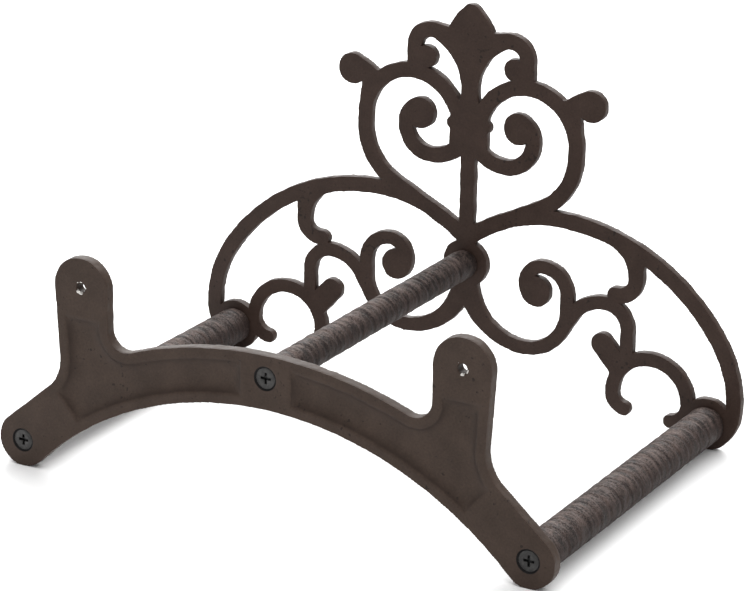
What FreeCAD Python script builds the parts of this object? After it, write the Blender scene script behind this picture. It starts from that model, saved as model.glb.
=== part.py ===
import FreeCAD, Part
import math
import os

# Wall hose hanger: an arched bracket on the wall, three rods and an openwork scroll plate in front.
# Millimetres and degrees. +Z is up, the wall is the plane Y = 0, and the hanger stands out towards -Y.
# The origin is midway between the two wall screw holes, on the wall plane.

SIZES = {
    # rods
    "side_rod_radius": 8.9,
    "middle_rod_radius": 7.0,
    "rod_length": 182.2,
    "side_rod_x": 132.6,
    "side_rod_z": -81.5,
    "middle_rod_z": -24.3,
    "thread_radius": 2.5,
    "thread_spare": 4.0,
    # screws
    "screw_radius": 2.45,
    "screw_head_radius": 5.0,
    "screw_sink": 0.2,
    "screw_reach": 13.0,
    "screw_clearance": 0.3,
    "seat_gap": 0.1,
    "recess_length": 5.2,
    "recess_width": 1.2,
    "recess_depth": 1.5,
    # wall bracket
    "bracket_thickness": 5.5,
    "arch_z": -26.3,
    "arch_half_width": 12.8,
    "arch_top_radius": 205.0,
    "arm_end_radius": 12.8,
    "arm_slope_angle": 40.5,
    "ear_x": 98.3,
    "ear_radius": 14.2,
    "ear_taper_angle": 3.5,
    "ear_hole_radius": 2.75,
    "ear_inner_fillet": 9.0,
    "ear_outer_fillet": 20.0,
    "pocket_depth": 2.2,
    "pocket_draft_angle": 45.0,
    "pocket_rim": 4.2,
    "pocket_middle_pad": 12.5,
    "pocket_ear_pad": 14.5,
    "pocket_end_pad": 33.5,
    # scroll plate: the bands and what they hang on
    "plate_thickness": 4.0,
    "stroke": 7.6,
    "fine_stroke": 6.7,
    "side_boss_radius": 12.8,
    "middle_boss_radius": 12.0,
    "stem_width": 7.8,
    "collar_width": 20.4,
    "collar_low": 33.0,
    "collar_high": 53.0,
    "collar_bump_radius": 3.3,
    "collar_bump_reach": 1.6,
    # scroll plate: heart, its knob and the curl inside it
    "heart_x": 31.5,
    "heart_z": 43.0,
    "heart_radius": 26.2,
    "heart_start_angle": 165.0,
    "heart_flat": 4.6,
    "heart_low_radius": 30.7,
    "heart_tail_angle": 63.0,
    "knob_radius": 7.7,
    "knob_reach": 40.3,
    "knob_angle": 33.4,
    "knob_neck_low_angle": 15.0,
    "knob_neck_high_angle": 50.0,
    "knob_under_angle": 225.0,
    "knob_back_angle": 115.0,
    "curl_x": 20.6,
    "curl_low": 28.0,
    "curl_root_radius": 22.0,
    "curl_radius": 14.3,
    "curl_top_radius": 10.5,
    "curl_bead_radius": 7.8,
    "curl_bead_angle": 67.0,
    # scroll plate: petal and leaves at the top
    "petal_top": 106.4,
    "petal_tip_radius": 4.5,
    "petal_tip_angle": 50.0,
    "petal_foot_x": 12.0,
    "petal_foot_z": 93.6,
    "leaf_x": 21.5,
    "leaf_z": 81.7,
    "leaf_inner_radius": 5.4,
    "leaf_slot_radius": 25.5,
    "leaf_slot_angle": 115.0,
    "leaf_slot_end_angle": 200.0,
    "leaf_back_angle": 95.0,
    "leaf_bump_x": 24.0,
    "leaf_bump_z": 77.1,
    "leaf_bump_radius": 5.5,
    # scroll plate: the wing over each side
    "wing_top_x": 50.0,
    "wing_top_z": 6.8,
    "wing_side_reach": 13.1,
    "wing_side_rise": 10.1,
    "wing_side_radius": 57.0,
    # scroll plate: scrolls under the wing
    "loop_x": 33.5,
    "loop_low": -62.0,
    "loop_radius": 22.5,
    "loop_root_x": 6.8,
    "loop_crotch_z": -46.6,
    "loop_flat": 7.5,
    "loop_top_radius": 13.3,
    "loop_curl_radius": 9.6,
    "loop_bead_radius": 7.8,
    "loop_bead_angle": 223.0,
    "branch_drop": 11.7,
    "branch_radius": 20.3,
    "branch_turn_radius": 12.3,
    "hook_step": 15.9,
    "hook_length": 1.7,
    "hook_lift": 5.3,
    "hook_radius": 9.0,
    "hook_web_radius": 17.0,
    "cee_step": 13.2,
    "cee_rise": 6.5,
    "cee_radius": 20.0,
    "cee_left_radius": 8.0,
    "cee_left_angle": 80.0,
    "cee_right_radius": 9.4,
    "cee_right_angle": 86.0,
    "cee_bridge_width": 7.0,
    "cee_bridge_angle": -5.0,
    "bud_reach": 34.8,
    "bud_angle": 138.6,
    "bud_radius": 5.6,
    "bud_root_angle": 144.0,
}

doc = FreeCAD.newDocument("HoseHanger")
sheet = doc.addObject("Spreadsheet::Sheet", "Sizes")
for row, (name, value) in enumerate(SIZES.items(), start=1):
    sheet.set("A%d" % row, name)
    sheet.set("B%d" % row, str(value))
    sheet.setAlias("B%d" % row, name)
doc.recompute()

NORMAL = FreeCAD.Vector(0, 0, 1)
PLATE_BACK = "Sizes.bracket_thickness + Sizes.rod_length"
PLATE_FRONT = PLATE_BACK + " + Sizes.plate_thickness"


def size(name):
    return float(sheet.get(name))


# Plane geometry: points are X and Z of the hanger, angles run counterclockwise from +X.


def point(x, z):
    return FreeCAD.Vector(x, z, 0)


def toward(degrees):
    return point(math.cos(math.radians(degrees)), math.sin(math.radians(degrees)))


def angle_of(centre, place):
    return math.degrees(math.atan2(place.y - centre.y, place.x - centre.x))


def circle(centre, radius):
    return Part.Circle(centre, NORMAL, radius)


def arc(centre, radius, first, last):
    """The round stretch between two angles, whichever is given first."""
    low, high = sorted((first, last))
    return Part.ArcOfCircle(circle(centre, radius), math.radians(low), math.radians(high))


def polygon(*corners):
    return [Part.LineSegment(a, b) for a, b in zip(corners, corners[1:] + corners[:1])]


def chain(*corners):
    return [Part.LineSegment(a, b) for a, b in zip(corners, corners[1:])]


def swell(centre, radius, degrees, end):
    """The arc that leaves a circle smoothly at an angle and runs to an end point."""
    out = toward(degrees)
    start = centre + out * radius
    chord = start - end
    own_radius = chord.Length ** 2 / (2 * chord.dot(out))
    own_centre = start - out * own_radius
    way = (start + end) * 0.5 - own_centre
    return Part.Arc(start, own_centre + way.normalize() * own_radius, end)


def height_on(centre, radius, x):
    """How high the top of a circle stands at a given X."""
    return centre.y + math.sqrt(radius ** 2 - (x - centre.x) ** 2)


class Stroke:
    """A band of even width along round and straight stretches, each smooth with the one before.

    It keeps to one turning side, so it has an outer edge and an inner one.
    """

    def __init__(self, centre, radius, degrees, width, clockwise=False):
        self.centre = centre
        self.radius = radius
        self.degrees = degrees
        self.half = width / 2
        self.turn = -1 if clockwise else 1
        self.outer = []
        self.inner = []

    def place(self, offset=0.0):
        return self.centre + toward(self.degrees) * (self.radius + offset)

    def heading(self):
        return toward(self.degrees + 90 * self.turn)

    def sweep(self, degrees):
        self.outer.append(arc(self.centre, self.radius + self.half, self.degrees, degrees))
        self.inner.append(arc(self.centre, self.radius - self.half, self.degrees, degrees))
        self.degrees = degrees
        return self

    def bend(self, radius):
        self.centre = self.centre + toward(self.degrees) * (self.radius - radius)
        self.radius = radius
        return self

    def run(self, length):
        step = self.heading() * length
        self.outer += chain(self.place(self.half), self.place(self.half) + step)
        self.inner += chain(self.place(-self.half), self.place(-self.half) + step)
        self.centre = self.centre + step
        return self

    def flat_cap(self):
        return chain(self.place(-self.half), self.place(self.half))

    def round_cap(self, way=1):
        tip = self.place() + self.heading() * (self.half * way)
        return [Part.Arc(self.place(-self.half), tip, self.place(self.half))]

    def bead(self, radius):
        """Ends a counterclockwise band in a round bead, smooth with the outer edge, closed on the inner."""
        middle = self.place(self.half - radius)
        ring = circle(middle, radius)
        kept = []
        for edge in self.inner:
            hits = edge.intersect(ring)
            if hits:
                meet = point(hits[0].X, hits[0].Y)
                kept.append(Part.ArcOfCircle(edge.Circle, edge.FirstParameter, edge.parameter(meet)))
                break
            kept.append(edge)
        self.inner = kept
        closing = angle_of(middle, meet)
        return [arc(middle, radius, self.degrees, closing + 360 * math.ceil((self.degrees - closing) / 360))]

    def outline(self, first_cap, last_cap):
        return self.outer + last_cap + self.inner + first_cap


# Features of a body, all drawn on planes parallel to the wall.


def origin_plane(body, role):
    return [feature for feature in body.Origin.OriginFeatures if feature.Role == role][0]


def drawing(body, name, edges, depth=None, role="XZ_Plane"):
    sketch = body.newObject("Sketcher::SketchObject", name)
    sketch.AttachmentSupport = [(origin_plane(body, role), "")]
    sketch.MapMode = "FlatFace"
    if depth:
        sketch.setExpression("AttachmentOffset.Base.z", depth)
    sketch.addGeometry(edges, False)
    return sketch


def pad(body, name, edges, length, depth=None):
    feature = body.newObject("PartDesign::Pad", name)
    feature.Profile = drawing(body, name + "Outline", edges, depth)
    feature.setExpression("Length", length)
    return feature


def pocket(body, name, edges, length, depth=None, reverse=False):
    feature = body.newObject("PartDesign::Pocket", name)
    feature.Profile = drawing(body, name + "Outline", edges, depth)
    feature.setExpression("Length", length)
    feature.Reversed = reverse
    return feature


def mirrored(body, name, features):
    feature = body.newObject("PartDesign::Mirrored", name)
    feature.Originals = features
    feature.MirrorPlane = (origin_plane(body, "YZ_Plane"), [""])
    body.Tip = feature
    return feature


def screw_holes(body, depth, reverse):
    """Countersunk holes for the screws that hold the three rods."""
    seats = [point(side * size("side_rod_x"), size("side_rod_z")) for side in (-1, 1)]
    seats.append(point(0, size("middle_rod_z")))
    doc.recompute()
    feature = body.newObject("PartDesign::Hole", "ScrewHoles")
    sketch = drawing(body, "ScrewHolePlaces", [circle(seat, size("screw_radius")) for seat in seats], depth)
    feature.Profile = sketch
    doc.recompute()
    feature.DepthType = "ThroughAll"
    feature.HoleCutType = "Countersink"
    feature.HoleCutCustomValues = True
    feature.Reversed = reverse
    feature.setExpression("Diameter", "2 * (Sizes.screw_radius + Sizes.screw_clearance)")
    sunk = "2 * (Sizes.screw_head_radius + Sizes.screw_sink + Sizes.seat_gap)"
    feature.setExpression("HoleCutDiameter", sunk)
    feature.HoleCutCountersinkAngle = 90
    body.Tip = feature
    return feature


# Wall bracket


def bracket_frame():
    """The centres and corners that the bracket's outline and its pockets share."""
    hub = size("arch_z")
    band = size("arch_half_width")
    end = point(size("side_rod_x"), size("side_rod_z"))
    end_radius = size("arm_end_radius")
    drop = hub - band - end.y
    low_radius = (end.x ** 2 + drop ** 2 - end_radius ** 2) / (2 * (end_radius + drop))
    arm = toward(-size("arm_slope_angle"))
    arm_side = toward(90 - size("arm_slope_angle"))
    ear = point(size("ear_x"), 0)
    ear_side = toward(-size("ear_taper_angle"))
    ear_down = toward(-90 - size("ear_taper_angle"))
    return {
        "hub": hub,
        "top_centre": point(0, hub + band - size("arch_top_radius")),
        "low_centre": point(0, hub - band - low_radius),
        "low_radius": low_radius,
        "end": end,
        "arm": arm,
        "arm_side": arm_side,
        "ear": ear,
        "ear_side": ear_side,
        "ear_down": ear_down,
    }


def crossing(start, way, other_start, other_way):
    """Where two straight lines cross."""
    gap = other_start - start
    across = way.x * other_way.y - way.y * other_way.x
    return start + way * ((gap.x * other_way.y - gap.y * other_way.x) / across)


def bracket_corners(frame):
    """The centres of the hollow corners beside an ear, on its inner and outer side."""
    fillet = size("ear_inner_fillet")
    inner_x = frame["ear"].x - size("ear_radius") - fillet
    inner_z = height_on(frame["top_centre"], size("arch_top_radius") + fillet, inner_x)
    wide = size("ear_outer_fillet")
    ear_edge = frame["ear"] + frame["ear_side"] * (size("ear_radius") + wide)
    arm_edge = frame["end"] + frame["arm_side"] * (size("arm_end_radius") + wide)
    outer = crossing(ear_edge, frame["ear_down"], arm_edge, frame["arm"])
    return point(inner_x, inner_z), outer


def bracket_outline(frame):
    inner, outer = bracket_corners(frame)
    top_radius = size("arch_top_radius")
    fillet = size("ear_inner_fillet")
    wide = size("ear_outer_fillet")
    notch = angle_of(frame["top_centre"], inner)
    ear_low = point(inner.x + fillet, inner.y)
    ear_inner = frame["ear"] - point(size("ear_radius"), 0)
    ear_outer = frame["ear"] + frame["ear_side"] * size("ear_radius")
    flare_top = outer - frame["ear_side"] * wide
    flare_low = outer - frame["arm_side"] * wide
    arm_top = frame["end"] + frame["arm_side"] * size("arm_end_radius")
    under = angle_of(frame["low_centre"], frame["end"])
    crown = frame["top_centre"] + point(0, top_radius)
    foot = frame["low_centre"] + point(0, frame["low_radius"])
    return (
        [arc(frame["top_centre"], top_radius, notch, 90)]
        + [arc(inner, fillet, notch + 180, 360)]
        + chain(ear_low, ear_inner)
        + [arc(frame["ear"], size("ear_radius"), -size("ear_taper_angle"), 180)]
        + chain(ear_outer, flare_top)
        + [arc(outer, wide, 180 - size("ear_taper_angle"), 270 - size("arm_slope_angle"))]
        + chain(flare_low, arm_top)
        + [arc(frame["end"], size("arm_end_radius"), under - 180, 90 - size("arm_slope_angle"))]
        + [arc(frame["low_centre"], frame["low_radius"], under, 90)]
        + chain(foot, crown)
    )


def line_meets_circle(start, way, centre, radius, far):
    """Where a straight line goes through a circle: the far or the near place along its way."""
    gap = start - centre
    along = gap.dot(way)
    reach = math.sqrt(along ** 2 - gap.Length ** 2 + radius ** 2)
    return start + way * (reach - along if far else -reach - along)


def pocket_outline(frame):
    """The shallow hollow in the wall face, from the pad round the middle screw to the ear and the arm."""
    inner, outer = bracket_corners(frame)
    rim = size("pocket_rim")
    side_x = size("pocket_middle_pad")
    top_radius = size("arch_top_radius") - rim
    low_radius = frame["low_radius"] + rim
    fillet = size("ear_inner_fillet") + rim
    wide = size("ear_outer_fillet") + rim
    notch = angle_of(frame["top_centre"], inner)
    start_top = point(side_x, height_on(frame["top_centre"], top_radius, side_x))
    start_low = point(side_x, height_on(frame["low_centre"], low_radius, side_x))
    ear_low = inner + point(fillet, 0)
    ear_top = point(ear_low.x, -size("pocket_ear_pad"))
    ear_edge = frame["ear"] + frame["ear_side"] * (size("ear_radius") - rim)
    ear_corner = crossing(ear_edge, frame["ear_down"], ear_top, toward(0))
    flare_top = outer - frame["ear_side"] * wide
    end_base = frame["end"] - frame["arm"] * size("pocket_end_pad")
    end_low = line_meets_circle(end_base, frame["arm_side"], frame["low_centre"], low_radius, True)
    flare_end = outer - frame["arm_side"] * wide
    end_top = end_base + frame["arm_side"] * (size("arm_end_radius") - rim)
    arm_edge = chain(flare_end, end_top, end_low)
    flare_stop = 270 - size("arm_slope_angle")
    if (end_top - flare_end).dot(frame["arm"]) <= 0:
        end_top = line_meets_circle(end_base, frame["arm_side"], outer, wide, False)
        flare_stop = angle_of(outer, end_top) % 360
        arm_edge = chain(end_top, end_low)
    return (
        [arc(frame["top_centre"], top_radius, notch, angle_of(frame["top_centre"], start_top))]
        + [arc(inner, fillet, notch + 180, 360)]
        + chain(ear_low, ear_top, ear_corner, flare_top)
        + [arc(outer, wide, 180 - size("ear_taper_angle"), flare_stop)]
        + arm_edge
        + [arc(frame["low_centre"], low_radius, angle_of(frame["low_centre"], end_low),
               angle_of(frame["low_centre"], start_low))]
        + chain(start_low, start_top)
    )


def make_bracket():
    body = doc.addObject("PartDesign::Body", "WallBracket")
    body.Label = "wall_bracket"
    frame = bracket_frame()
    casting = pad(body, "Casting", bracket_outline(frame), "Sizes.bracket_thickness")
    hollow = pocket(body, "Hollow", pocket_outline(frame), "Sizes.pocket_depth", reverse=True)
    hollow.setExpression("TaperAngle", "-Sizes.pocket_draft_angle")
    ear_hole = [circle(frame["ear"], size("ear_hole_radius"))]
    hole = pocket(body, "EarHole", ear_hole, "Sizes.bracket_thickness", reverse=True)
    mirrored(body, "OtherSide", [casting, hollow, hole])
    screw_holes(body, None, True)
    return body


# Scroll plate: one outline for each band of the right-hand side


def heart_centre():
    return point(size("heart_x"), size("heart_z"))


def heart_outline():
    start = size("heart_start_angle")
    band = Stroke(heart_centre(), size("heart_radius"), start, size("stroke"), clockwise=True)
    first = band.flat_cap()
    tail = -size("heart_tail_angle")
    band.sweep(0).run(size("heart_flat")).bend(size("heart_low_radius")).sweep(tail)
    band.run(-band.place().x / band.heading().x)
    return band.outline(first, band.flat_cap())


def knob_outline():
    heart = heart_centre()
    edge = size("heart_radius") + size("stroke") / 2
    middle = heart + toward(size("knob_angle")) * size("knob_reach")
    radius = size("knob_radius")
    low, high = size("knob_neck_low_angle"), size("knob_neck_high_angle")
    neck_low, neck_high = heart + toward(low) * edge, heart + toward(high) * edge
    root = heart + toward((low + high) / 2) * size("heart_radius")
    back = size("knob_back_angle")
    under = size("knob_under_angle") - 360
    return (
        [swell(middle, radius, back, neck_high)]
        + [arc(middle, radius, under, back)]
        + chain(middle + toward(under) * radius, neck_low, root, neck_high)
    )


def curl_outline():
    low = point(size("curl_x"), size("curl_low"))
    radius = size("curl_root_radius")
    centre = low + point(0, radius)
    start = 180 + math.degrees(math.acos(min(1.0, centre.x / radius)))
    band = Stroke(centre, radius, start, size("stroke"))
    first = band.flat_cap()
    band.sweep(270).bend(size("curl_radius")).sweep(360)
    band.bend(size("curl_top_radius")).sweep(360 + size("curl_bead_angle"))
    return band.outline(first, band.bead(size("curl_bead_radius")))


def collar_outline():
    half = size("collar_width") / 2
    low, high = size("collar_low"), size("collar_high")
    bump = size("collar_bump_radius")
    middle = point(half + size("collar_bump_reach") - bump, (low + high) / 2 + bump)
    rise = math.sqrt(bump ** 2 - (half - middle.x) ** 2)
    bump_low, bump_high = point(half, middle.y - rise), point(half, middle.y + rise)
    round_side = arc(middle, bump, angle_of(middle, bump_low), angle_of(middle, bump_high))
    return [round_side] + chain(bump_high, point(half, high), point(0, high), point(0, low),
                                point(half, low), bump_low)


def stem_outline():
    half = size("stem_width") / 2
    low, high = size("middle_rod_z"), size("collar_high")
    return polygon(point(0, low), point(half, low), point(half, high), point(0, high))


def leaf_outline():
    """Half of the petal, the leaf beside it, and the inner side of the slot between them."""
    leaf = point(size("leaf_x"), size("leaf_z"))
    inner = size("leaf_inner_radius")
    outer = inner + size("stroke")
    tip = point(0, size("petal_top") - size("petal_tip_radius"))
    foot = point(size("petal_foot_x"), size("petal_foot_z"))
    slot = size("leaf_slot_radius")
    slot_angle = size("leaf_slot_angle")
    slot_centre = leaf - toward(slot_angle) * (slot - inner)
    base = size("heart_z") + size("heart_radius")
    slot_end = size("leaf_slot_end_angle")
    tip_angle = size("petal_tip_angle")
    back = size("leaf_back_angle")
    slot_low = slot_centre + toward(slot_end) * slot
    collar = (size("collar_low") + size("collar_high")) / 2
    return (
        [arc(tip, size("petal_tip_radius"), tip_angle, 90)]
        + [swell(tip, size("petal_tip_radius"), tip_angle, foot)]
        + chain(foot, leaf + toward(back) * outer)
        + [arc(leaf, outer, 0, back)]
        + chain(leaf + point(outer, 0), point(leaf.x + outer, base), point(leaf.x + inner, base),
                leaf + point(inner, 0))
        + [arc(leaf, inner, 0, slot_angle)]
        + [arc(slot_centre, slot, slot_angle, slot_end)]
        + chain(slot_low, point(slot_low.x, collar), point(0, collar), point(0, size("petal_top")))
    )


def wing_span():
    """Centre and radius of the wing's long stretch, and the centre of its side stretch."""
    top = point(size("wing_top_x"), size("wing_top_z"))
    side_radius = size("wing_side_radius")
    side = point(size("side_rod_x") + size("wing_side_reach") - side_radius,
                 size("side_rod_z") + size("wing_side_rise"))
    across = side.x - top.x
    drop = top.y - side.y
    radius = (across ** 2 + drop ** 2 - side_radius ** 2) / (2 * (drop - side_radius))
    return top - point(0, radius), radius, side


def wing_outline():
    top = point(size("wing_top_x"), size("wing_top_z"))
    root = point(0, size("middle_rod_z") + size("middle_boss_radius"))
    rise = top.y - root.y
    root_radius = (top.x ** 2 + rise ** 2) / (2 * rise)
    root_centre = top - point(0, root_radius)
    span_centre, span_radius, side_centre = wing_span()
    band = Stroke(root_centre, root_radius, angle_of(root_centre, root), size("stroke"), clockwise=True)
    first = band.flat_cap()
    band.sweep(90).bend(span_radius).sweep(angle_of(span_centre, side_centre))
    band.bend(size("wing_side_radius")).sweep(0)
    boss = point(size("side_rod_x"), size("side_rod_z"))
    spare = size("side_boss_radius") - band.half
    reach = band.place() - boss
    foot_radius = (reach.Length ** 2 - spare ** 2) / (2 * (reach.x - spare))
    band.bend(foot_radius).sweep(angle_of(band.centre, boss))
    return band.outline(first, band.flat_cap())


def loop_centre():
    return point(size("loop_x"), size("loop_low") + size("loop_radius"))


def loop_outline():
    low = point(size("loop_x"), size("loop_low"))
    band = Stroke(loop_centre(), size("loop_radius"), 270, size("fine_stroke"))
    inner_low, outer_low = band.place(-band.half), band.place(band.half)
    band.sweep(360).run(size("loop_flat")).bend(size("loop_top_radius")).sweep(450)
    band.bend(size("loop_curl_radius")).sweep(360 + size("loop_bead_angle"))
    root = low.x - size("loop_root_x")
    root_centre = inner_low + point(0, root)
    crotch = point(0, size("loop_crotch_z"))
    fall = crotch.y - outer_low.y
    sole = (low.x ** 2 + fall ** 2) / (2 * fall)
    sole_centre = outer_low + point(0, sole)
    start = (
        [arc(root_centre, root, 180, 270)]
        + chain(root_centre - point(root, 0), point(0, root_centre.y), crotch)
        + [arc(sole_centre, sole, 360 + angle_of(sole_centre, crotch), 270)]
    )
    return band.outline(start, band.bead(size("loop_bead_radius")))


def branch_centre():
    return loop_centre() + point(size("loop_radius") + size("branch_radius"), -size("branch_drop"))


def cee_centre():
    reach = size("branch_turn_radius") + size("cee_step")
    return point(branch_centre().x + reach, size("side_rod_z") + size("cee_rise"))


def branch_outline():
    """Leaves the loop in a straight line smooth with both, goes over its crest and down to the cee."""
    radius = size("branch_radius")
    gap = loop_centre() - branch_centre()
    lean = math.degrees(math.acos((size("loop_radius") + radius) / gap.Length))
    leave = angle_of(branch_centre(), loop_centre()) - lean
    band = Stroke(branch_centre(), radius, leave, size("fine_stroke"), clockwise=True)
    loop_edge = loop_centre() - toward(leave) * (size("loop_radius") + band.half)
    loop_middle = loop_centre() - toward(leave) * size("loop_radius")
    first = chain(band.place(-band.half), loop_edge, loop_middle, band.place(band.half))
    band.sweep(90).bend(size("branch_turn_radius")).sweep(0)
    ring = height_on(cee_centre(), size("cee_radius"), band.place().x)
    band.run(band.place().y - ring)
    return band.outline(first, band.flat_cap())


def hook_x():
    return branch_centre().x + size("hook_step")


def hook_outline():
    radius = size("hook_radius")
    low = branch_centre().y + size("branch_radius") + size("hook_lift")
    centre = point(hook_x() - radius - size("hook_length"), low + radius)
    band = Stroke(centre, radius, 270, size("stroke"))
    first = band.round_cap(-1)
    span_centre, span_radius, side_centre = wing_span()
    band.run(size("hook_length")).sweep(360)
    band.run(height_on(span_centre, span_radius, hook_x()) - band.place().y)
    return band.outline(first, band.flat_cap())


def web_outline():
    """The wide hollow corner between the wing's underside and the hook."""
    half = size("stroke") / 2
    radius = size("hook_web_radius")
    span_centre, span_radius, side_centre = wing_span()
    inner = span_radius - half
    edge_x = hook_x() - half
    middle = point(edge_x - radius, height_on(span_centre, inner - radius, edge_x - radius))
    turn = angle_of(span_centre, middle)
    low, high = middle + point(radius, 0), middle + toward(turn) * radius
    corner = point(hook_x(), height_on(span_centre, span_radius, hook_x()))
    back = span_centre + toward(turn) * span_radius
    return [arc(middle, radius, 0, turn)] + chain(high, back, corner, point(corner.x, low.y), low)


def cee_outline():
    centre = cee_centre()
    radius = size("cee_radius")
    left = size("cee_left_radius")
    band = Stroke(centre - point(radius - left, 0), left, 180 + size("cee_left_angle"),
                  size("fine_stroke"), clockwise=True)
    first = band.round_cap(-1)
    band.sweep(180).bend(radius).sweep(0).bend(size("cee_right_radius")).sweep(-size("cee_right_angle"))
    return band.outline(first, band.round_cap())


def straight_outline(start, end, width, round_start=False):
    way = (end - start).normalize()
    side = point(-way.y, way.x) * (width / 2)
    first = Part.Arc(start + side, start - way * (width / 2), start - side)
    cap = [first] if round_start else chain(start + side, start - side)
    return cap + chain(start - side, end - side, end + side, start + side)


def bridge_outline():
    start = cee_centre() + toward(size("cee_bridge_angle")) * size("cee_radius")
    return straight_outline(start, point(size("side_rod_x"), size("side_rod_z")), size("cee_bridge_width"))


def bud_outline():
    end = cee_centre() + toward(size("bud_root_angle")) * size("cee_radius")
    start = cee_centre() + toward(size("bud_angle")) * size("bud_reach")
    return straight_outline(start, end, 2 * size("bud_radius"), round_start=True)


def make_plate():
    body = doc.addObject("PartDesign::Body", "FrontPlate")
    body.Label = "front_plate"
    boss = point(size("side_rod_x"), size("side_rod_z"))
    hub = point(0, size("middle_rod_z"))
    bump = point(size("leaf_bump_x"), size("leaf_bump_z"))
    outlines = {
        "MiddleBoss": [circle(hub, size("middle_boss_radius"))],
        "Stem": stem_outline(),
        "Collar": collar_outline(),
        "Leaf": leaf_outline(),
        "Heart": heart_outline(),
        "LeafBump": [circle(bump, size("leaf_bump_radius"))],
        "Knob": knob_outline(),
        "Curl": curl_outline(),
        "Wing": wing_outline(),
        "SideBoss": [circle(boss, size("side_boss_radius"))],
        "Loop": loop_outline(),
        "Hook": hook_outline(),
        "HookWeb": web_outline(),
        "Branch": branch_outline(),
        "Cee": cee_outline(),
        "Bridge": bridge_outline(),
        "Bud": bud_outline(),
    }
    bands = [pad(body, name, edges, "Sizes.plate_thickness", PLATE_BACK) for name, edges in outlines.items()]
    mirrored(body, "OtherSide", bands)
    screw_holes(body, PLATE_FRONT, False)
    return body


# Rods


def make_rod(label, radius, x, z):
    body = doc.addObject("PartDesign::Body", label.title().replace("_", ""))
    body.Label = label
    middle = point(0, 0)
    pad(body, "Bar", [circle(middle, size(radius))], "Sizes.rod_length", "Sizes.bracket_thickness")
    bore = [circle(middle, size("thread_radius"))]
    depth = "Sizes.screw_reach + Sizes.thread_spare"
    pocket(body, "WallEndThread", bore, depth, "Sizes.bracket_thickness", reverse=True)
    pocket(body, "FrontEndThread", bore, depth, PLATE_BACK)
    body.setExpression("Placement.Base.x", x)
    body.setExpression("Placement.Base.z", z)
    return body


# Screws


def make_screw(name, thickness):
    """A countersunk screw with its head's top at the origin, facing +Y, and a cross recess in it."""
    body = doc.addObject("PartDesign::Body", name)
    head, shank = size("screw_head_radius"), size("screw_radius")
    tail = size("screw_sink") - size(thickness) - size("screw_reach")
    neck = point(shank, shank - head)
    profile = polygon(point(0, 0), point(head, 0), neck, point(shank, tail), point(0, tail))
    turned = body.newObject("PartDesign::Revolution", "Turned")
    turned.Profile = drawing(body, "Profile", profile, role="XY_Plane")
    turned.ReferenceAxis = (turned.Profile[0], ["V_Axis"])
    turned.Angle = 360
    arm, half = size("recess_length") / 2, size("recess_width") / 2
    quarter = [point(arm, -half), point(arm, half), point(half, half)]
    corners = []
    for turn in range(4):
        spin = FreeCAD.Rotation(NORMAL, 90 * turn)
        corners += [spin.multVec(corner) for corner in quarter]
    pocket(body, "CrossRecess", polygon(*corners), "Sizes.recess_depth", reverse=True)
    return body


def make_screws(label, thickness, head_depth, turn):
    """Three screws as one group of separate pieces."""
    places = [("-Sizes.side_rod_x", "Sizes.side_rod_z"), ("0", "Sizes.middle_rod_z"),
              ("Sizes.side_rod_x", "Sizes.side_rod_z")]
    screws = []
    for number, (x, z) in enumerate(places, start=1):
        screw = make_screw("%sScrew%d" % (label.title().split("_")[0], number), thickness)
        screw.Placement.Rotation = FreeCAD.Rotation(NORMAL, turn)
        screw.setExpression("Placement.Base.x", x)
        screw.setExpression("Placement.Base.y", head_depth)
        screw.setExpression("Placement.Base.z", z)
        screws.append(screw)
    group = doc.addObject("Part::Compound", label.title().replace("_", ""))
    group.Label = label
    group.Links = screws
    return group


pieces = [
    make_bracket(),
    make_plate(),
    make_rod("rod_left", "side_rod_radius", "-Sizes.side_rod_x", "Sizes.side_rod_z"),
    make_rod("rod_centre", "middle_rod_radius", "0", "Sizes.middle_rod_z"),
    make_rod("rod_right", "side_rod_radius", "Sizes.side_rod_x", "Sizes.side_rod_z"),
    make_screws("bracket_screws", "bracket_thickness", "-Sizes.screw_sink", 0),
    make_screws("plate_screws", "plate_thickness", "-(%s - Sizes.screw_sink)" % PLATE_FRONT, 180),
]
doc.recompute()

failed = [item.Label for item in doc.Objects if "Invalid" in item.State or "Error" in item.State]
if failed:
    raise RuntimeError("not built: " + ", ".join(failed))
for piece in pieces:
    if piece.Shape.isNull() or not piece.Shape.isValid():
        raise RuntimeError("bad shape: " + piece.Label)

os.makedirs("parts", exist_ok=True)
for piece in pieces:
    piece.Shape.exportStep(os.path.join("parts", piece.Label + ".step"))
    solids = piece.Shape.Solids
    print(piece.Label, len(solids), "solids", round(sum(solid.Volume for solid in solids)), "mm3")
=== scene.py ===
import math
import bpy
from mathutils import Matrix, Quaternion, Vector


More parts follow.
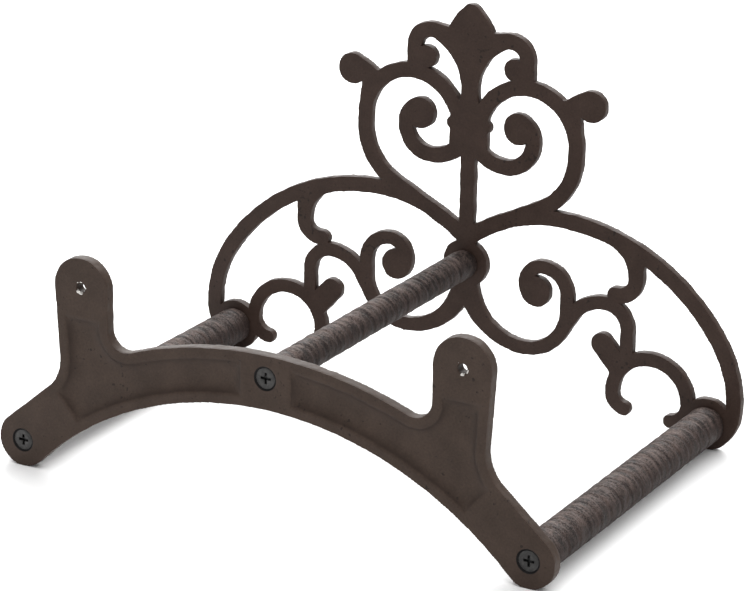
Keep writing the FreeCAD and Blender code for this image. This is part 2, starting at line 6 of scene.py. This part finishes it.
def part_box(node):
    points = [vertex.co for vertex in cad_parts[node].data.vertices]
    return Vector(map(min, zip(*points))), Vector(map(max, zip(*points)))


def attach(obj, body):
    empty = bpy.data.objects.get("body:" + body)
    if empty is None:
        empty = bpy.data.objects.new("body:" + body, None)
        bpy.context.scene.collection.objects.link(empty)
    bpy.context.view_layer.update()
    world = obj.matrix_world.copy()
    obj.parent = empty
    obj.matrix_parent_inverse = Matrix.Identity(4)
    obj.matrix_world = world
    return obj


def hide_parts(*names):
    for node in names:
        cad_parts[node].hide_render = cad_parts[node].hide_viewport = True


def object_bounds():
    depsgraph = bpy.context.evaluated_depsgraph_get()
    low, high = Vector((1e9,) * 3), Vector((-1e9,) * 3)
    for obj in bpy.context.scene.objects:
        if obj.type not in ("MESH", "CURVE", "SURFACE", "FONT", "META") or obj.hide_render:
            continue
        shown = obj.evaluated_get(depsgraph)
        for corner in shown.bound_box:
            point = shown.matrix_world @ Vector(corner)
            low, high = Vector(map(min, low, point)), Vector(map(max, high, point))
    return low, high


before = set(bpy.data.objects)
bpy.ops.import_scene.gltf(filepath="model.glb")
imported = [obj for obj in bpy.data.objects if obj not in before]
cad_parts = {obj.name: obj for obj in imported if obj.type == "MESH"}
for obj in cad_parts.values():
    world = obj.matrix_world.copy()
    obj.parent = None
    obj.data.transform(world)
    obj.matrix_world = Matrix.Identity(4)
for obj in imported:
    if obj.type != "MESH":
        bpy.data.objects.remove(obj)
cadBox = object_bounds()
mm = 0.001
print("frame loaded:", ", ".join(sorted(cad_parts)))


# mesh helpers


def pick(*pieces):
    if bpy.context.mode != "OBJECT":
        bpy.ops.object.mode_set(mode="OBJECT")
    bpy.ops.object.select_all(action="DESELECT")
    for piece in pieces:
        piece.select_set(True)
    bpy.context.view_layer.objects.active = pieces[0]


def editWhole(piece):
    pick(piece)
    bpy.ops.object.mode_set(mode="EDIT")
    bpy.ops.mesh.select_all(action="SELECT")


def applyAll(piece):
    pick(piece)
    for modifier in list(piece.modifiers):
        bpy.ops.object.modifier_apply(modifier=modifier.name)


def copyOfNode(nodeName, pieceName):
    # own mesh, with the loose triangles joined
    piece = bpy.data.objects.new(pieceName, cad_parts[nodeName].data.copy())
    bpy.context.scene.collection.objects.link(piece)
    editWhole(piece)
    bpy.ops.mesh.remove_doubles(threshold=0.005 * mm)
    bpy.ops.object.mode_set(mode="OBJECT")
    return piece


def joined(parts):
    pick(*parts)
    bpy.ops.object.join()
    return bpy.context.object


def combine(piece, tool, operation):
    change = piece.modifiers.new("combine", "BOOLEAN")
    change.operation = operation
    change.solver = "EXACT"
    change.object = tool
    applyAll(piece)
    bpy.data.objects.remove(tool)


def dress(piece, material, slotName, *nodeNames):
    piece.data.materials.clear()
    piece.data.materials.append(material)
    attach(piece, "root")
    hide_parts(*nodeNames)
    print(piece.name, "made:", len(piece.data.polygons), "faces")


# shader helpers


def addNode(finish, kind):
    return finish.node_tree.nodes.new("ShaderNode" + kind)


def newFinish(name):
    finish = bpy.data.materials.new(name)
    finish.use_nodes = True
    place = addNode(finish, "TexCoord").outputs["Object"]
    return finish, finish.node_tree.nodes["Principled BSDF"].inputs, place


def feed(finish, value, socket):
    # an output is linked to the socket, a colour or a number is set on it
    if isinstance(value, bpy.types.NodeSocket):
        finish.node_tree.links.new(value, socket)
    elif isinstance(value, tuple):
        socket.default_value = (*value, 1)
    else:
        socket.default_value = value


def splitAxes(finish, vector):
    axes = addNode(finish, "SeparateXYZ")
    feed(finish, vector, axes.inputs["Vector"])
    return axes.outputs


def addNoise(finish, place, scale, detail, roughness=0.5):
    noise = addNode(finish, "TexNoise")
    noise.inputs["Scale"].default_value = scale
    noise.inputs["Detail"].default_value = detail
    noise.inputs["Roughness"].default_value = roughness
    feed(finish, place, noise.inputs["Vector"])
    return noise.outputs["Fac"]


def addRamp(finish, source, span, *colours):
    # a single number stands for a grey
    ramp = addNode(finish, "ValToRGB")
    for stop, position, colour in zip(ramp.color_ramp.elements, span, colours):
        stop.position = position
        stop.color = (*colour, 1) if isinstance(colour, tuple) else (colour, colour, colour, 1)
    feed(finish, source, ramp.inputs["Fac"])
    return ramp.outputs["Color"]


def addMix(finish, factor, first, second):
    mix = addNode(finish, "MixRGB")
    for value, socket in zip((factor, first, second), mix.inputs):
        feed(finish, value, socket)
    return mix.outputs["Color"]


def addBump(finish, height, strength, distance, under=None):
    bump = addNode(finish, "Bump")
    bump.inputs["Strength"].default_value = strength
    bump.inputs["Distance"].default_value = distance * mm
    feed(finish, height, bump.inputs["Height"])
    if under:
        feed(finish, under, bump.inputs["Normal"])
    return bump.outputs["Normal"]


def addMath(finish, operation, *values):
    step = addNode(finish, "Math")
    step.operation = operation
    for value, socket in zip(values, step.inputs):
        feed(finish, value, socket)
    return step.outputs["Value"]


def weigh(finish, *layers):
    # the sum of the layers, each times its share
    total = 0
    for layer, share in layers:
        total = addMath(finish, "MULTIPLY_ADD", layer, share, total)
    return total


# castings: the wall bracket and the scroll plate, with the soft edges and corners of a sand casting

castingLook = {
    "cellDepth": 9,  # the grid's side is split in two so many times
    "cellShare": 0.72,  # of the grid's side, filled by the casting
    "easing": 0.5,  # share of the way that one round of smoothing goes
    "edgeRounds": 2,
    "wanderRounds": 1,
    "footRounds": 140,  # the pockets meet their walls in a wide hollow
    "bracketWander": (-0.1, 0.5),  # mm that the side walls stray in and out
    "plateWander": (-0.25, 0.65),
    "wanderSize": 5.5,
    "wanderDetail": 2,
    "sideLean": 0.85,  # a side wall faces less than this along Y
    "pocketDepth": 2.2,
    "footSpan": (-1.4, -0.25),  # where the feet lie, in depths of the pocket
    "footLean": 0.4,  # and what they face at least along Y
    "holeRadius": 2.75,
    "seatRadius": 5.75,
    "earPlaces": ((-98.3, 0.0), (98.3, 0.0)),
    "earBore": 2.35,  # inside its worn rim, which has the hole's radius
    "spare": 1.0,  # that plugs are wider than holes, and cones taller than seats
    "roundPoints": 48,
    "smoothAngle": 42,
}

castPaint = {
    "bracketBrown": ((0.035, 0.0231, 0.0175), (0.057, 0.0382, 0.0294)),  # dark and light patches
    # the plate's brown is a darker copy of the bracket's paint: painted shade, for the plate catching
    # less light
    "plateBrownPaintedShade": ((0.030, 0.0181, 0.0141), (0.0477, 0.0297, 0.0234)),
    "brownSpan": (0.36, 0.64),
    "mottle": {"scale": 70, "detail": 5, "roughness": 0.6},  # scales are per metre
    "mottleShare": 0.5,
    "grain": {"scale": 900, "detail": 6, "roughness": 0.65},
    "grainShare": 0.5,
    "grainBump": (0.45, 0.2),  # strength, and height in mm
    "lumps": {"scale": 190, "detail": 3},
    "lumpBump": (0.35, 0.5),
    "pits": {"scale": 420, "detail": 2},
    "pitShare": 0.8,
    "pitGroups": {"scale": 45, "detail": 2},
    "groupShare": 0.35,
    "pitSpan": (0.72, 0.78),
    "pitCover": 0.8,
    "pitColour": (0.016, 0.011, 0.009),
    "pocketShade": (0.019, 0.0112, 0.0086),
    "pocketCover": 0.85,
    "pocketSpan": (0.10, 0.35),  # depths over which the shade comes in
    "pocketEnd": 1.2,  # depth at which it stops
    "pocketLean": (0.82, 0.998),  # what a wall and a floor face along Y
    "pocketLeast": 0.5,
    "seatPaintedShade": (0.005, 0.004, 0.004),
    "roughSpan": (0.3, 0.7),
    "roughness": (0.46, 0.62),
    "shine": 0.14,
    "bareSteel": (0.62, 0.60, 0.57),
    "bareRadius": 3.1,  # mm from the middle of an ear hole
    "bareDepth": 1.2,
    "barePatches": {"scale": 330, "detail": 2},
    "bareFrom": 0.57,
}

rodNames = {"rod_left": "leftRod", "rod_centre": "middleRod", "rod_right": "rightRod"}


def rodPlace(nodeName):
    low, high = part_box(nodeName)
    return (low[0] + high[0]) / 2, (low[2] + high[2]) / 2


def rodPlaces():
    return [rodPlace(nodeName) for nodeName in rodNames]


def earPlaces():
    return [(x * mm, z * mm) for x, z in castingLook["earPlaces"]]


def nearAxes(finish, place, holes, radius):
    # 1 within a radius of any of these axes along Y
    axes = splitAxes(finish, place)
    total = 0
    for x, z in holes:
        across = addMath(finish, "POWER", addMath(finish, "SUBTRACT", axes["X"], x), 2)
        up = addMath(finish, "POWER", addMath(finish, "SUBTRACT", axes["Z"], z), 2)
        near = addMath(finish, "LESS_THAN", addMath(finish, "ADD", across, up), radius ** 2)
        total = addMath(finish, "ADD", near, total)
    return total


def bareRim(finish, place):
    # where the paint is rubbed off the edge of the two ear holes
    near = nearAxes(finish, place, earPlaces(), castPaint["bareRadius"] * mm)
    depth = splitAxes(finish, place)["Y"]
    shallow = addMath(finish, "GREATER_THAN", depth, -castPaint["bareDepth"] * mm)
    patches = addNoise(finish, place, **castPaint["barePatches"])
    rubbed = addMath(finish, "GREATER_THAN", patches, castPaint["bareFrom"])
    return addMath(finish, "MULTIPLY", addMath(finish, "MULTIPLY", near, shallow), rubbed)


def pocketWalls(finish, place):
    # painted shade on the sloping walls of the pockets and their rounded feet
    depth = addMath(finish, "DIVIDE", splitAxes(finish, place)["Y"], -castingLook["pocketDepth"] * mm)
    slope = splitAxes(finish, place.node.outputs["Normal"])["Y"]
    below = addRamp(finish, depth, castPaint["pocketSpan"], 0, 1)
    above = addMath(finish, "LESS_THAN", depth, castPaint["pocketEnd"])
    leaning = addRamp(finish, slope, castPaint["pocketLean"], castPaint["pocketCover"], 0)
    notUpright = addMath(finish, "GREATER_THAN", slope, castPaint["pocketLeast"])
    within = addMath(finish, "MULTIPLY", addMath(finish, "MULTIPLY", below, above), notUpright)
    return addMath(finish, "MULTIPLY", within, leaning)


def paintedCasting(name, brown):
    finish, shader, place = newFinish(name)
    mottle = addNoise(finish, place, **castPaint["mottle"])
    grain = addNoise(finish, place, **castPaint["grain"])
    shade = weigh(finish, (mottle, castPaint["mottleShare"]), (grain, castPaint["grainShare"]))
    colour = addRamp(finish, shade, castPaint["brownSpan"], *castPaint[brown])
    colour = addMix(finish, pocketWalls(finish, place), colour, castPaint["pocketShade"])
    pits = addNoise(finish, place, **castPaint["pits"])
    groups = addNoise(finish, place, **castPaint["pitGroups"])
    pits = weigh(finish, (pits, castPaint["pitShare"]), (groups, castPaint["groupShare"]))
    deep = addRamp(finish, pits, castPaint["pitSpan"], 0, castPaint["pitCover"])
    colour = addMix(finish, deep, colour, castPaint["pitColour"])
    # the seats round the screws are painted near black: painted shade in the recess round each head
    seats = nearAxes(finish, place, rodPlaces(), castingLook["seatRadius"] * mm)
    colour = addMix(finish, seats, colour, castPaint["seatPaintedShade"])
    rim = bareRim(finish, place)
    feed(finish, addMix(finish, rim, colour, castPaint["bareSteel"]), shader["Base Color"])
    feed(finish, rim, shader["Metallic"])
    rough = addRamp(finish, grain, castPaint["roughSpan"], *castPaint["roughness"])
    feed(finish, rough, shader["Roughness"])
    lumps = addNoise(finish, place, **castPaint["lumps"])
    normal = addBump(finish, lumps, *castPaint["lumpBump"])
    feed(finish, addBump(finish, grain, *castPaint["grainBump"], normal), shader["Normal"])
    shader["Specular IOR Level"].default_value = castPaint["shine"]
    return finish


def ease(piece, rounds, groupName=""):
    smooth = piece.modifiers.new("ease", "SMOOTH")
    smooth.factor = castingLook["easing"]
    smooth.iterations = rounds
    smooth.vertex_group = groupName
    applyAll(piece)


def wanderSides(piece, wander, low, high):
    sides = piece.vertex_groups.new(name="sides")
    lean = castingLook["sideLean"]
    sides.add([v.index for v in piece.data.vertices if abs(v.normal.y) < lean], 1.0, "REPLACE")
    clouds = bpy.data.textures.new("casting wander", "CLOUDS")
    clouds.noise_scale = castingLook["wanderSize"] * mm
    clouds.noise_depth = castingLook["wanderDetail"]
    shift = piece.modifiers.new("wander", "DISPLACE")
    shift.texture = clouds
    shift.texture_coords = "LOCAL"
    shift.strength = (wander[1] - wander[0]) * mm
    shift.mid_level = -wander[0] / (wander[1] - wander[0])
    shift.vertex_group = sides.name
    applyAll(piece)
    ease(piece, castingLook["wanderRounds"])
    piece.vertex_groups.clear()
    for vertex in piece.data.vertices:  # nothing strays out of the part's own box
        vertex.co = [min(max(value, least), most) for value, least, most in zip(vertex.co, low, high)]


def hollowFeet(piece):
    feet = piece.vertex_groups.new(name="feet")
    low, high = [share * castingLook["pocketDepth"] * mm for share in castingLook["footSpan"]]
    lean = castingLook["footLean"]
    inside = [v.index for v in piece.data.vertices if low < v.co.y < high and v.normal.y > lean]
    feet.add(inside, 1.0, "REPLACE")
    ease(piece, castingLook["footRounds"], feet.name)
    piece.vertex_groups.clear()


def seatCone(place, face, outward, radius):
    # a right-angled seat, which widens to this radius at the face and goes on a little beyond it
    spare = castingLook["spare"] * mm
    middle = face + outward * (spare - radius) / 2
    bpy.ops.object.select_all(action="DESELECT")
    bpy.ops.mesh.primitive_cone_add(
        vertices=castingLook["roundPoints"], radius1=0, radius2=radius + spare, depth=radius + spare,
        location=(place[0], middle, place[1]), rotation=(-outward * math.pi / 2, 0, 0))
    return bpy.context.object


def roundBar(place, low, high, radius, stretch):
    # along Y, as long as the casting is thick, times the stretch
    bpy.ops.object.select_all(action="DESELECT")
    bpy.ops.mesh.primitive_cylinder_add(
        vertices=castingLook["roundPoints"], radius=radius * mm, depth=stretch * (high - low),
        location=(place[0], (low + high) / 2, place[1]), rotation=(math.pi / 2, 0, 0))
    return bpy.context.object


def makeCasting(nodeName, pieceName, material, wander, outward, ears):
    piece = copyOfNode(nodeName, pieceName)
    low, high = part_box(nodeName)
    hole = castingLook["holeRadius"]
    if ears:  # their holes are filled first and bored again, narrower inside their rims
        plugs = [roundBar(place, low[1], high[1], hole + castingLook["spare"], 1) for place in ears]
        combine(piece, joined(plugs), "UNION")
    cells = piece.modifiers.new("cells", "REMESH")
    cells.mode = "SHARP"
    cells.octree_depth = castingLook["cellDepth"]
    cells.scale = castingLook["cellShare"]
    cells.use_remove_disconnected = False
    applyAll(piece)
    ease(piece, castingLook["edgeRounds"])
    wanderSides(piece, wander, low, high)
    if ears:
        hollowFeet(piece)
    face = high[1] if outward > 0 else low[1]
    cones = [seatCone(place, face, outward, castingLook["seatRadius"] * mm) for place in rodPlaces()]
    cones += [seatCone(place, face, outward, hole * mm) for place in ears]
    bores = [roundBar(place, low[1], high[1], hole, 2) for place in rodPlaces()]
    bores += [roundBar(place, low[1], high[1], castingLook["earBore"], 2) for place in ears]
    combine(piece, joined(cones), "DIFFERENCE")
    combine(piece, joined(bores), "DIFFERENCE")
    pick(piece)
    bpy.ops.object.shade_smooth_by_angle(angle=math.radians(castingLook["smoothAngle"]))
    dress(piece, material, "painted_casting", nodeName)


# rods: a bar with one shallow spiral groove, bored at both ends

rodLook = {
    "pitch": 10.6,
    "grooveWidth": 3.4,  # along the rod
    "grooveDepth": 0.32,
    "grooveSteps": 3,  # nested arcs of the ring, for a round floor
    "grooveNarrowing": 0.75,
    "wander": 0.5,  # mm that the surface strays inwards at most
    "wanderSize": 3.5,
    "ringPoints": 48,
    "stepsPerTurn": 28,
    "boreRadius": 2.5,
    "boreDepth": 17.0,
    "borePoints": 32,
    "neckLength": 0.9,  # drawn in at both ends, so that a dark line shows at the joint
    "neckDepth": 0.45,
    "smoothAngle": 40,
}

rodPaint = {
    "darkBrown": (0.007, 0.0043, 0.0036),
    "lightBrown": (0.046, 0.0298, 0.0256),
    "brownSpan": (0.41, 0.60),
    "wearAndPaintedLightBrown": (0.140, 0.104, 0.091),  # lighter on top: wear where the hose lies, and painted light from above
    "wearAndPaintedLightFacing": (0.35, 1.0),  # what a worn and painted-lit place faces along Z
    "wearAndPaintedLightCover": 0.85,
    "rubbedSpan": (0.46, 0.58),
    "specks": {"scale": 1300, "detail": 5, "roughness": 0.7},
    "speckShare": 0.5,
    "mottle": {"scale": 150, "detail": 4},
    "mottleShare": 0.15,
    "ridgeStretch": (95, 380, 95),  # per metre, closest along the rod
    "ridges": {"scale": 1, "detail": 3, "roughness": 0.6},
    "ridgeShare": 0.35,
    "reliefBump": (0.9, 0.8),  # strength, and height in mm
    "roughSpan": (0.3, 0.7),
    "roughness": (0.5, 0.75),
    "shine": 0.2,
}


def paintedRod(name):
    finish, shader, place = newFinish(name)
    specks = addNoise(finish, place, **rodPaint["specks"])
    mottle = addNoise(finish, place, **rodPaint["mottle"])
    stretch = addNode(finish, "Mapping")
    stretch.inputs["Scale"].default_value = rodPaint["ridgeStretch"]
    feed(finish, place, stretch.inputs["Vector"])
    ridges = addNoise(finish, stretch.outputs["Vector"], **rodPaint["ridges"])
    relief = weigh(finish, (mottle, rodPaint["mottleShare"]), (specks, rodPaint["speckShare"]),
                   (ridges, rodPaint["ridgeShare"]))
    colour = addRamp(finish, relief, rodPaint["brownSpan"], rodPaint["darkBrown"], rodPaint["lightBrown"])
    # the rods' upper sides are painted lighter: partly wear where the hose lies, partly painted light
    # from above
    facing = splitAxes(finish, place.node.outputs["Normal"])["Z"]
    upper = addRamp(finish, facing, rodPaint["wearAndPaintedLightFacing"], 0, rodPaint["wearAndPaintedLightCover"])
    raised = addRamp(finish, relief, rodPaint["rubbedSpan"], 0, 1)
    rubbed = addMath(finish, "MULTIPLY", upper, raised)
    feed(finish, addMix(finish, rubbed, colour, rodPaint["wearAndPaintedLightBrown"]), shader["Base Color"])
    rough = addRamp(finish, mottle, rodPaint["roughSpan"], *rodPaint["roughness"])
    feed(finish, rough, shader["Roughness"])
    feed(finish, addBump(finish, relief, *rodPaint["reliefBump"]), shader["Normal"])
    shader["Specular IOR Level"].default_value = rodPaint["shine"]
    return finish


def drawIn(piece, share, wanted):
    # the points that the rule picks move towards the rod's axis
    editWhole(piece)
    bpy.ops.mesh.select_all(action="DESELECT")
    bpy.ops.object.mode_set(mode="OBJECT")
    for vertex in piece.data.vertices:
        vertex.select = wanted(vertex.co)
    bpy.ops.object.mode_set(mode="EDIT")
    bpy.ops.transform.resize(value=(share, share, 1), center_override=(0, 0, 0))
    bpy.ops.object.mode_set(mode="OBJECT")


def carveGroove(piece, radius):
    steps = rodLook["grooveSteps"]
    halfAngle = math.pi * rodLook["grooveWidth"] / rodLook["pitch"]
    share = 1 - rodLook["grooveDepth"] * mm / radius / steps
    for step in range(steps):
        reach = halfAngle * (1 - step / steps * rodLook["grooveNarrowing"])
        drawIn(piece, share, lambda point: abs(math.atan2(point.y, point.x)) <= reach)


def neckEnds(piece, radius, length):
    neck = rodLook["neckLength"] * mm
    share = 1 - rodLook["neckDepth"] * mm / radius
    drawIn(piece, share, lambda point: point.z < neck or point.z > length - neck)


def closeEnds(piece):
    editWhole(piece)
    bpy.ops.mesh.select_all(action="DESELECT")
    bpy.ops.mesh.select_mode(type="VERT")
    bpy.ops.mesh.select_non_manifold()
    bpy.ops.mesh.fill_holes(sides=0)
    bpy.ops.mesh.select_all(action="SELECT")
    bpy.ops.mesh.normals_make_consistent(inside=False)
    bpy.ops.object.mode_set(mode="OBJECT")


def boreEnds(piece, length):
    for end in (0, length):
        bpy.ops.object.select_all(action="DESELECT")
        bpy.ops.mesh.primitive_cylinder_add(
            vertices=rodLook["borePoints"], radius=rodLook["boreRadius"] * mm,
            depth=2 * rodLook["boreDepth"] * mm, location=(0, 0, end))
        combine(piece, bpy.context.object, "DIFFERENCE")


def makeGroovedBar(radius, length):
    # standing up from the origin
    bpy.ops.object.select_all(action="DESELECT")
    bpy.ops.mesh.primitive_circle_add(vertices=rodLook["ringPoints"], radius=radius, location=(0, 0, 0))
    bar = bpy.context.object
    carveGroove(bar, radius)
    turns = length / (rodLook["pitch"] * mm)
    twist = bar.modifiers.new("spiral", "SCREW")
    twist.axis = "Z"
    twist.screw_offset = length
    twist.angle = 2 * math.pi * turns
    twist.steps = twist.render_steps = round(rodLook["stepsPerTurn"] * turns)
    twist.use_merge_vertices = False
    clouds = bpy.data.textures.new("rod wander", "CLOUDS")
    clouds.noise_scale = rodLook["wanderSize"] * mm
    shift = bar.modifiers.new("wander", "DISPLACE")
    shift.texture = clouds
    shift.texture_coords = "LOCAL"
    shift.mid_level = 1.0
    shift.strength = rodLook["wander"] * mm
    applyAll(bar)
    neckEnds(bar, radius, length)
    closeEnds(bar)
    boreEnds(bar, length)
    return bar


def makeRods(material):
    for nodeName, pieceName in rodNames.items():
        low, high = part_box(nodeName)
        x, z = rodPlace(nodeName)
        rod = makeGroovedBar((high[2] - low[2]) / 2, high[1] - low[1])
        rod.name = rod.data.name = pieceName
        rod.rotation_euler = (math.pi / 2, 0, 0)  # from standing up to lying along -Y
        rod.location = (x, high[1], z)
        pick(rod)
        bpy.ops.object.transform_apply(location=True, rotation=True, scale=True)
        bpy.ops.object.shade_smooth_by_angle(angle=math.radians(rodLook["smoothAngle"]))
        dress(rod, material, "painted_rod", nodeName)


# screws: those of the CAD frame, with soft edges, a little deeper in their seats

screwLook = {
    "flatAngle": 0.5,  # degrees, below which two faces become one
    "edgeWidth": 0.15,
    "edgeSegments": 2,
    "sharpAngle": 40,
    "sunk": 0.4,
}

screwFinish = {
    "black": (0.017, 0.016, 0.0155),
    "rubbed": (0.040, 0.038, 0.0365),
    "rubbedSpan": (0.42, 0.68),
    "wear": {"scale": 420, "detail": 5, "roughness": 0.6},
    "wearBump": (0.15, 0.1),  # strength, and height in mm
    "recessPaintedShade": (0.003, 0.003, 0.003),
    "recessDepth": 0.9,  # mm below the head's face
    "roughSpan": (0.3, 0.7),
    "roughness": (0.3, 0.5),
    "metal": 0.35,
}


def blackScrew(name):
    finish, shader, place = newFinish(name)
    wear = addNoise(finish, place, **screwFinish["wear"])
    colour = addRamp(finish, wear, screwFinish["rubbedSpan"], screwFinish["black"], screwFinish["rubbed"])
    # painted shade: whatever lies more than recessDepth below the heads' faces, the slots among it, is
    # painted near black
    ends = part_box("plate_screws")[0][1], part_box("bracket_screws")[1][1]
    along = addMath(finish, "SUBTRACT", splitAxes(finish, place)["Y"], sum(ends) / 2)
    reach = (ends[1] - ends[0]) / 2 - (screwLook["sunk"] + screwFinish["recessDepth"]) * mm
    deep = addMath(finish, "LESS_THAN", addMath(finish, "ABSOLUTE", along), reach)
    feed(finish, addMix(finish, deep, colour, screwFinish["recessPaintedShade"]), shader["Base Color"])
    rough = addRamp(finish, wear, screwFinish["roughSpan"], *screwFinish["roughness"])
    feed(finish, rough, shader["Roughness"])
    feed(finish, addBump(finish, wear, *screwFinish["wearBump"]), shader["Normal"])
    shader["Metallic"].default_value = screwFinish["metal"]
    return finish


def softenEdges(piece):
    bevel = piece.modifiers.new("soft edge", "BEVEL")
    bevel.width = screwLook["edgeWidth"] * mm
    bevel.segments = screwLook["edgeSegments"]
    bevel.limit_method = "ANGLE"
    bevel.angle_limit = math.radians(screwLook["sharpAngle"])
    bevel.use_clamp_overlap = False
    bevel.harden_normals = True
    pick(piece)
    bpy.ops.object.shade_smooth()
    applyAll(piece)


def makeScrews(nodeName, pieceName, material, inward):
    piece = copyOfNode(nodeName, pieceName)
    editWhole(piece)
    bpy.ops.mesh.dissolve_limited(angle_limit=math.radians(screwLook["flatAngle"]))
    bpy.ops.object.mode_set(mode="OBJECT")
    softenEdges(piece)
    editWhole(piece)
    bpy.ops.transform.translate(value=(0, inward * screwLook["sunk"] * mm, 0))
    bpy.ops.object.mode_set(mode="OBJECT")
    dress(piece, material, "dark_screw", nodeName)


# studio: a pale floor under the hanger, two soft lights and a camera on the wall's side

studio = {
    "floorSize": 12.0,
    "floorColour": (0.92, 0.92, 0.92),
    "fibreColour": (0.9108, 0.9108, 0.9108),
    "fibre": {"scale": 3, "detail": 2},
    "fibreSpan": (0.3, 0.7),
    "floorRoughness": 0.9,
    "floorShine": 0.1,
    "worldColour": (1, 1, 1, 1),
    "worldLight": 0.54,
    "topLight": {"power": 95, "size": 4.0, "place": (-0.3, -0.3, 2.3)},
    "backLight": {"power": 95, "size": 2.4, "place": (0.9, -2.1, 1.3)},
    "aim": (0, -0.09, 0),
}


def palePaper(name):
    finish, shader, place = newFinish(name)
    fibre = addNoise(finish, place, **studio["fibre"])
    colour = addRamp(finish, fibre, studio["fibreSpan"], studio["fibreColour"], studio["floorColour"])
    feed(finish, colour, shader["Base Color"])
    shader["Roughness"].default_value = studio["floorRoughness"]
    shader["Specular IOR Level"].default_value = studio["floorShine"]
    return finish


def addAreaLight(name, power, size, place):
    bpy.ops.object.select_all(action="DESELECT")
    bpy.ops.object.light_add(type="AREA", location=place)
    lamp = bpy.context.object
    lamp.name = name
    lamp.data.energy = power
    lamp.data.size = size
    lamp.rotation_euler = (Vector(studio["aim"]) - Vector(place)).to_track_quat("-Z", "Y").to_euler()


def setStudio():
    bpy.ops.object.select_all(action="DESELECT")
    bpy.ops.mesh.primitive_plane_add(size=studio["floorSize"], location=(0, 0, cadBox[0][2]))
    floor = bpy.context.object
    floor.name = "studioFloor"
    floor.data.materials.append(palePaper("pale paper"))
    addAreaLight("topLight", **studio["topLight"])
    addAreaLight("backLight", **studio["backLight"])
    world = bpy.data.worlds.new("studio")
    bpy.context.scene.world = world
    world.use_nodes = True
    background = world.node_tree.nodes["Background"].inputs
    background["Color"].default_value = studio["worldColour"]
    background["Strength"].default_value = studio["worldLight"]
    bpy.context.scene.view_settings.view_transform = "Standard"


photoCamera = {
    "place": (-0.68493, 1.12050, 0.47632),
    "look": (0.46228, -0.82256, -0.33120),
    "roll": 0.90,  # degrees
    "focalPixels": 3172.6,
    "photoWidth": 750,
    "sensor": 36.0,
    "farthest": 50,
}


def setCamera():
    bpy.ops.object.select_all(action="DESELECT")
    bpy.ops.object.camera_add(location=photoCamera["place"])
    camera = bpy.context.object
    aim = Vector(photoCamera["look"]).to_track_quat("-Z", "Y")
    roll = Quaternion((0, 0, 1), math.radians(photoCamera["roll"]))
    camera.rotation_euler = (aim @ roll).to_euler()
    camera.data.sensor_width = photoCamera["sensor"]
    camera.data.lens = photoCamera["focalPixels"] * photoCamera["sensor"] / photoCamera["photoWidth"]
    camera.data.clip_end = photoCamera["farthest"]
    bpy.context.scene.camera = camera


bracketPaint = paintedCasting("painted bracket", "bracketBrown")
platePaint = paintedCasting("painted plate", "plateBrownPaintedShade")
makeCasting("wall_bracket", "castBracket", bracketPaint, castingLook["bracketWander"], 1, earPlaces())
makeCasting("front_plate", "scrollPlate", platePaint, castingLook["plateWander"], -1, [])
makeRods(paintedRod("painted rod"))
screwBlack = blackScrew("blackened screw")
makeScrews("bracket_screws", "bracketScrews", screwBlack, -1)
makeScrews("plate_screws", "plateScrews", screwBlack, 1)
setStudio()
setCamera()
print("studio and camera set")
